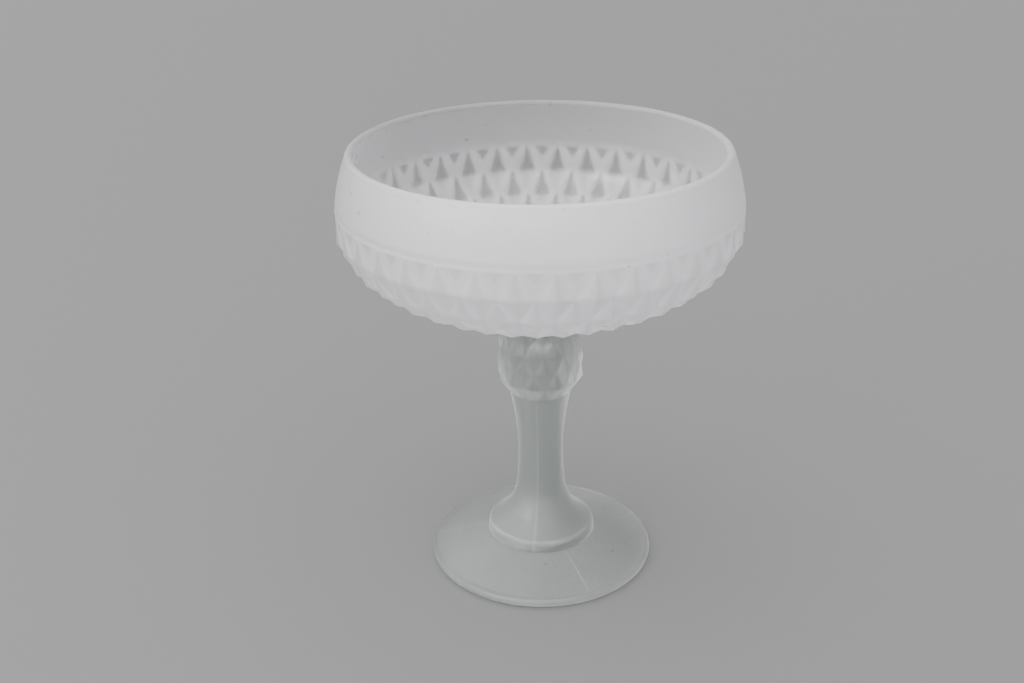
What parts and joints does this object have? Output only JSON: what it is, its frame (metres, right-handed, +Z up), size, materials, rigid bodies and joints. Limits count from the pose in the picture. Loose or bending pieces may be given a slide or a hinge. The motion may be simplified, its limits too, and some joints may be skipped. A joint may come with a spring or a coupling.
{
  "type": "pressed glass pedestal compote",
  "caption": "Pedestal compote of satin-finished pressed glass: wide bowl with a smooth band above diamond points, hollow knopped stem and round dished foot.",
  "frame": {"origin": "centre of the foot's standing ring, on the surface it stands on", "axes": "+Z up along the stem towards the rim, -Y the front, +X to the right seen from the front"},
  "size_m": [0.1592, 0.1592, 0.181],
  "materials": {
    "bowl_glass": "satin",
    "wafer_glass": "satin",
    "stem_glass": "satin",
    "foot_glass": "satin"
  },
  "bodies": {
    "root": {"bowl": "bowl_glass", "joining_wafer": "wafer_glass", "stem": "stem_glass", "foot": "foot_glass"}
  },
  "joints": []
}
